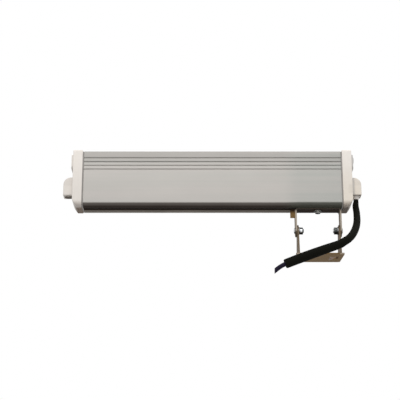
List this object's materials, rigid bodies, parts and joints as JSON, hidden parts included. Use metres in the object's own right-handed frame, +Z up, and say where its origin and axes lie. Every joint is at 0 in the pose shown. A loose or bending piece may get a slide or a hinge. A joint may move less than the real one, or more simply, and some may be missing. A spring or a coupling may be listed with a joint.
{
  "type": "linear floodlight",
  "caption": "Long extruded linear floodlight with cast end caps and side cable entries, on a tilting two-part bracket that slides along its base.",
  "frame": {"origin": "centre of the foot plate's underside", "axes": "+X along the housing to the end with the lead, -Y the front, +Z up"},
  "size_m": [0.5958, 0.104, 0.2673],
  "materials": {
    "satin_aluminium": "satin anodised extrusion",
    "cast_paint": "aluminium casting with off-white satin paint",
    "dark_rubber": "dull black seal",
    "black_sleeve": "matte black sleeve",
    "navy_sheath": "dark navy cable sheath",
    "bracket_steel": "stainless sheet with a brown tone",
    "bright_steel": "bright stainless fasteners",
    "clear_glass": "clear toughened glass",
    "clear_lens": "clear moulded plastic",
    "board_white": "white solder mask",
    "driver_shell": "grey driver shell",
    "tray_zinc": "zinc plated sheet",
    "terminal_plastic": "pale moulded plastic",
    "dark_plastic": "dark moulded plastic"
  },
  "bodies": {
    "foot": {"lower_yoke": "bracket_steel", "pivot_bolt_left": "bright_steel", "pivot_bolt_right": "bright_steel", "pivot_nut_left": "bright_steel", "pivot_nut_right": "bright_steel", "pivot_washer_left": "bright_steel", "pivot_washer_right": "bright_steel"},
    "yoke": {"slot_nut": "bright_steel", "upper_yoke": "bracket_steel", "web_bolt": "bright_steel"},
    "head": {"blanking_plug": "dark_plastic", "board_screw_1": "bright_steel", "board_screw_2": "bright_steel", "board_screw_3": "bright_steel", "board_screw_4": "bright_steel", "cable_end": "navy_sheath", "cable_sleeve": "black_sleeve", "cap_gasket_left": "dark_rubber", "cap_gasket_right": "dark_rubber", "cap_screw_left_back_low": "bright_steel", "cap_screw_left_back_top": "bright_steel", "cap_screw_left_front_low": "bright_steel", "cap_screw_left_front_top": "bright_steel", "cap_screw_right_back_low": "bright_steel", "cap_screw_right_back_top": "bright_steel", "cap_screw_right_front_low": "bright_steel", "cap_screw_right_front_top": "bright_steel", "driver": "driver_shell", "driver_input_lead": "navy_sheath", "driver_screw_left": "bright_steel", "driver_screw_right": "bright_steel", "driver_tray": "tray_zinc", "end_cap_left": "cast_paint", "end_cap_right": "cast_paint", "gland_bush": "dark_rubber", "gland_ring": "dark_plastic", "housing": "satin_aluminium", "led_board_left": "board_white", "led_board_right": "board_white", "led_lead": "navy_sheath", "lens_strip_left": "clear_lens", "lens_strip_right": "clear_lens", "plug_seal": "dark_rubber", "supply_tail": "navy_sheath", "terminal_block": "terminal_plastic", "terminal_screw": "bright_steel", "vent_plug": "dark_plastic", "window_bar_back": "satin_aluminium", "window_bar_front": "satin_aluminium", "window_glass": "clear_glass", "window_seal_back": "dark_rubber", "window_seal_front": "dark_rubber"}
  },
  "joints": [
    {"name": "tilt", "type": "hinge", "parent": "foot", "child": "yoke", "pos_m": [0, 0, 0.0562], "axis": [1, 0, 0], "range_deg": [-90, 90]},
    {"name": "slide", "type": "slide", "parent": "yoke", "child": "head", "axis": [1, 0, 0], "range_m": [0, 0.42]}
  ]
}
